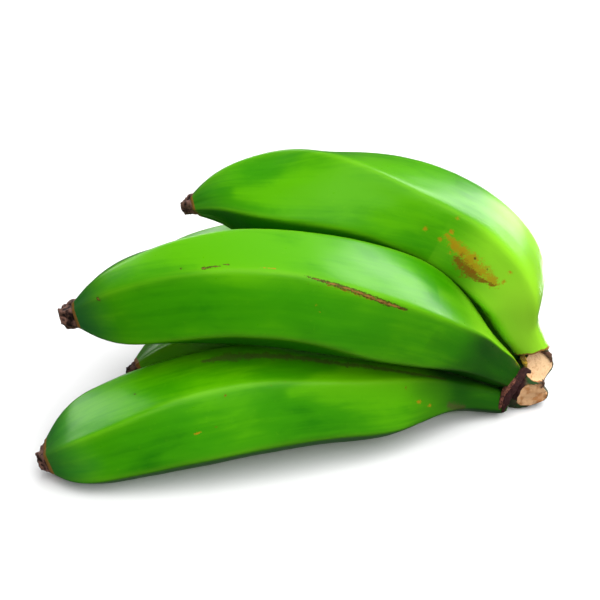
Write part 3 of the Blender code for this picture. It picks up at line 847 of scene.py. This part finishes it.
def crown_pad(look):
    """The crown: squarish slices of shifting size, lumpy, with two cut faces.

    A slice is a superellipse: half width * sign(cos) |cos|^(2/n) out and half depth *
    sign(sin) |sin|^(2/n) back, about a centre that shifts with the height."""
    slices = np.asarray(CROWN_SLICES, float)
    level = np.linspace(-slices[0, 0], -slices[-1, 0], look.levels)
    up, out, back, width, depth = spline(-slices[:, 0], slices, level).T
    angle = around(look.corners)
    wide = np.sign(np.cos(angle)) * np.abs(np.cos(angle)) ** (2 / CROWN_SQUARE)
    deep = np.sign(np.sin(angle)) * np.abs(np.sin(angle)) ** (2 / CROWN_SQUARE)
    local = together(out[:, None] + width[:, None] * wide, up[:, None], back[:, None] + depth[:, None] * deep)
    rings = crown_place(local)
    outward = unit(rings - rings.mean(1, keepdims=True))
    lump = 0.7 * scatter(rings, 5.0, 21) + 0.35 * scatter(rings, 2.0, 22) + 0.15 * scatter(rings, 0.8, 23)
    rings = rings + outward * (lump - 0.6)[..., None]
    rings, upper, toward = slice_off(rings, UPPER_CUT)
    rings, lower, down = slice_off(rings, LOWER_CUT, 0.8)
    rough = look.roughness_of_cut / MM * (scatter(rings, 3.0, 24) + 0.5 * scatter(rings, 1.2, 25))
    rings = rings + (upper * rough)[..., None] * toward + (lower * rough)[..., None] * down
    dried = smooth(-local[..., 2], 8, 15) * smooth(local[..., 0], 2, -8) * (1 - upper) * (1 - lower)
    green = smooth(scatter(rings, 6.0, 26), -0.3, 0.5)
    pit = (0.45 + 0.55 * smooth(scatter(rings, 2.6, 27), 0.2, 0.6)) * lower
    fields = {
        "tissue": together(np.maximum(upper, lower), dried, 0),
        "surface": together(green, pit, 0),
    }
    rings, fields = domed(rings, fields, (1.0, 0.9, 0.7, 0.4), 0.3)
    return closed_skin("crown_pad", press_flat(rings), fields)


def shred(name, route, flat, turn, kind, seed, stations=120, corners=60):
    """A torn dried strip: a flattened section along a route, creased and ragged.

    The section is an ellipse with edges drawn out: width * cos and width * flat * sin, times
    1 plus creases.  kind is 0 for dark, 1 for reddish and 2 for yellow brown tissue."""
    placed = np.array([[*crown_place(row[:3]), row[3]] for row in route])
    share = np.linspace(0, 1, stations)
    centre, width, _ = along(placed, share)
    up, side = carried_axes(centre)
    angle = around(corners)
    tilt = math.radians(turn)
    first = math.cos(tilt) * up + math.sin(tilt) * side
    second = math.cos(tilt) * side - math.sin(tilt) * up
    lane = together(3 * np.cos(angle), 3 * np.sin(angle), 14 * share[:, None])
    crease = 1 + 0.30 * scatter(lane, 1.6, seed) + 0.16 * scatter(lane, 0.6, seed + 1)
    across = (width[:, None] * np.cos(angle) * crease)[..., None]
    through = (width[:, None] * flat * np.sin(angle) * crease)[..., None]
    rings = centre[:, None] + across * first[:, None] + through * second[:, None]
    blank = np.zeros(rings.shape[:2])
    fields = {
        "tissue": together(blank, max(0, 1 - kind), kind if kind <= 1 else 0),
        "surface": together(blank, 0, kind > 1),
    }
    return closed_skin(name, press_flat(rings), fields)


def flower_end(finger, look, seed):
    """A dried flower end: five uneven lobes that turn as they draw in, crumpled by ridged noise.

    Folds are 1 - |noise|, which gives sharp crests, and grow from the foot to the ragged end."""
    length, base, tip = BLOSSOMS[finger]
    centre, _, _ = along(FINGERS[finger][0], np.linspace(0, 1, 36))
    ahead = unit(centre[-1] - centre[-2])
    share = np.linspace(-0.12, 1, look.stations)
    line = centre[-1] + ahead * (length * share)[:, None]
    t = np.clip(share, 0, 1)
    size = base + (tip - base) * t**1.3
    size = size * np.sqrt(np.clip((1.0 - share) / 0.12, 0.02, 1))
    angle = around(look.corners)
    turn = angle[None] + 0.9 * t[:, None]
    lobes = 1 + t[:, None] ** 0.5 * (0.16 * np.cos(5 * turn) + 0.07 * np.cos(3 * turn + 2))
    plain = tube_rings(line, size, lobes)
    outward = unit(plain - line[:, None])
    ridged = 1 - 2 * np.abs(scatter(plain, 3.0, seed))
    ridged = 0.65 * ridged + 0.35 * (1 - 2 * np.abs(scatter(plain, 1.3, seed + 1)))
    grow = smooth(share, -0.05, 0.35)[:, None]
    crumple = look.crumple / MM * (0.25 + 0.75 * grow)
    rings = plain + outward * (crumple * (ridged - 0.35))[..., None]
    jag = 0.9 * scatter(plain, 1.6, seed + 2) * smooth(share, 0.5, 1.0)[:, None]
    rings = rings + ahead * jag[..., None]
    foot, end = smooth(share, 0.10, -0.02)[:, None], smooth(share, 0.85, 1.0)[:, None]
    fields = {"folds": together(np.clip(ridged * 0.5 + 0.5, 0, 1), foot, end)}
    return closed_skin(finger.replace("plantain", "blossom_end") + "_flower", press_flat(rings), fields)


class PLANTAIN_OT_peel(bpy.types.Operator):
    """Builds the peel of the five fingers"""

    bl_idname = "plantain.peel"
    bl_label = "Peel of the fingers"

    def execute(self, context):
        look = context.scene.plantain_peel
        material = peel_material(look)
        for seed, name in enumerate(FINGERS):
            share = 0.7 if "rear" in name else 1.0
            stations, corners = int(look.stations * share), int(look.corners * share)
            piece = finger_skin(name, look, stations, corners, 40 + 10 * seed)
            dress(piece, material, name)
        return {"FINISHED"}


class PLANTAIN_OT_crown(bpy.types.Operator):
    """Builds the cut crown with its dried rim"""

    bl_idname = "plantain.crown"
    bl_label = "Crown"

    def execute(self, context):
        look = context.scene.plantain_crown
        material = crown_material(look)
        dress(crown_pad(look), material, "crown")
        for seed, (name, strip) in enumerate(SHREDS.items()):
            dress(shred(name, *strip, 60 + 5 * seed), material, "crown")
        return {"FINISHED"}


class PLANTAIN_OT_flowers(bpy.types.Operator):
    """Builds the dried flower ends"""

    bl_idname = "plantain.flowers"
    bl_label = "Dried flower ends"

    def execute(self, context):
        look = context.scene.plantain_flower
        material = flower_material(look)
        for seed, name in enumerate(BLOSSOMS):
            solid = name.replace("plantain", "blossom_end")
            dress(flower_end(name, look, 80 + 7 * seed), material, solid)
        return {"FINISHED"}


# The camera: where it stands and what it looks at, in millimetres from the tables' origin
CAMERA_AT = np.array((-214.5, -607.2, 374.2))
CAMERA_TO = np.array((-7.4, -39.5, 84.9))
LENS = 85.0
# Directions are as seen from the cluster: degrees to the right of the camera's forward
# direction, and degrees up.  A broad light has the angle that it fills, and a panel, which
# only shows as a reflection, has its distance, width and height in metres.
BROAD_LIGHTS = {
    "front_light": ((160, 50), 70),
    "rear_light": ((40, 60), 60),
    "side_light": ((80, 35), 60),
    "low_light": ((140, -35), 90),
}
PANELS = {
    "right_panel": ((55, 34), 1.4, (0.57, 1.35)),
    "low_panel": ((27, -10), 1.4, (0.56, 0.6)),
    "far_panel": ((-20, 26), 1.6, (0.6, 0.8)),
    "left_panel": ((-60, 32), 1.4, (0.5, 0.62)),
}


def aim(item, place, target):
    """Puts a light or camera in place and points it at the target."""
    item.location = place
    item.rotation_euler = (Vector(target) - Vector(place)).to_track_quat("-Z", "Y").to_euler()
    bpy.context.scene.collection.objects.link(item)


def lamp(name, kind, place, target, hidden, **values):
    """A light with the given values, pointed at the target and hidden from some rays."""
    light = bpy.data.lights.new(name, kind)
    for key, value in values.items():
        setattr(light, key, value)
    item = bpy.data.objects.new(name, light)
    for rays in hidden:
        setattr(item, rays, False)
    aim(item, place, target)


def towards(direction, ahead, right):
    """The unit vector of a direction given in degrees to the right and up."""
    turn, rise = (math.radians(value) for value in direction)
    level = right * math.sin(turn) + ahead * math.cos(turn)
    return level * math.cos(rise) + np.array((0, 0, math.sin(rise)))


class PLANTAIN_OT_stage(bpy.types.Operator):
    """Builds the floor, the lights and the camera"""

    bl_idname = "plantain.stage"
    bl_label = "Stage"

    def execute(self, context):
        scene = context.scene
        look = scene.plantain_stage
        half = look.floor_width / 2
        mesh = bpy.data.meshes.new("floor")
        corners = [(-half, -half, 0), (half, -half, 0), (half, half, 0), (-half, half, 0)]
        mesh.from_pydata(corners, [], [(0, 1, 2, 3)])
        mesh.materials.append(floor_material(look))
        floor = bpy.data.objects.new("floor", mesh)
        scene.collection.objects.link(floor)
        floor.visible_diffuse = False
        floor.visible_glossy = False
        floor.visible_shadow = False
        target = (CAMERA_TO - MIDDLE) * MM
        ahead = CAMERA_TO - CAMERA_AT
        ahead = np.array((ahead[0], ahead[1], 0)) / math.hypot(ahead[0], ahead[1])
        right = np.array((ahead[1], -ahead[0], 0))
        for name, (direction, angle) in BROAD_LIGHTS.items():
            lamp(name, "SUN", target + towards(direction, ahead, right), target, ("visible_glossy",),
                 energy=getattr(look, name), angle=math.radians(angle))
        for name, (direction, distance, (width, tall)) in PANELS.items():
            lamp(name, "AREA", target + distance * towards(direction, ahead, right), target,
                 ("visible_diffuse", "visible_camera"), shape="RECTANGLE", size=width, size_y=tall,
                 energy=getattr(look, name) * math.pi * width * tall)
        world = bpy.data.worlds.new("even_light")
        world.use_nodes = True
        tree = world.node_tree
        background = tree.nodes["Background"].inputs
        background["Color"].default_value = (1, 1, 1, 1)
        path = tree.nodes.new("ShaderNodeLightPath")
        seen = tree.nodes.new("ShaderNodeMath")   # the camera sees white, and the rest gets the sky
        seen.inputs[1].default_value = look.sky
        tree.links.new(path.outputs["Is Camera Ray"], seen.inputs[0])
        tree.links.new(seen.outputs[0], background["Strength"])
        scene.world = world
        lens = bpy.data.cameras.new("camera")
        lens.lens = LENS
        lens.sensor_width = 36
        lens.clip_end = 100
        camera = bpy.data.objects.new("camera", lens)
        aim(camera, (CAMERA_AT - MIDDLE) * MM, target)
        scene.camera = camera
        scene.view_settings.view_transform = "Standard"
        return {"FINISHED"}


# Each operator, where its settings are kept, and what they are
PIECES = (
    (PLANTAIN_OT_peel, "plantain_peel", PeelSettings),
    (PLANTAIN_OT_crown, "plantain_crown", CrownSettings),
    (PLANTAIN_OT_flowers, "plantain_flower", FlowerSettings),
    (PLANTAIN_OT_stage, "plantain_stage", StageSettings),
)


class PLANTAIN_PT_panel(bpy.types.Panel):
    """Lists the pieces and their settings"""

    bl_idname = "PLANTAIN_PT_panel"
    bl_label = "Plantain cluster"
    bl_space_type = "VIEW_3D"
    bl_region_type = "UI"
    bl_category = "Plantains"

    def draw(self, context):
        for operator, key, group in PIECES:
            box = self.layout.box()
            box.operator(operator.bl_idname)
            for setting in group.__annotations__:
                box.prop(getattr(context.scene, key), setting)


def register():
    for operator, key, group in PIECES:
        bpy.utils.register_class(group)
        bpy.utils.register_class(operator)
        setattr(bpy.types.Scene, key, bpy.props.PointerProperty(type=group))
    bpy.utils.register_class(PLANTAIN_PT_panel)


def unregister():
    bpy.utils.unregister_class(PLANTAIN_PT_panel)
    for operator, key, group in reversed(PIECES):
        delattr(bpy.types.Scene, key)
        bpy.utils.unregister_class(operator)
        bpy.utils.unregister_class(group)


def main():
    """Builds everything in order."""
    register()
    bpy.ops.plantain.peel()
    bpy.ops.plantain.crown()
    bpy.ops.plantain.flowers()
    bpy.ops.plantain.stage()


if __name__ == "__main__":
    main()
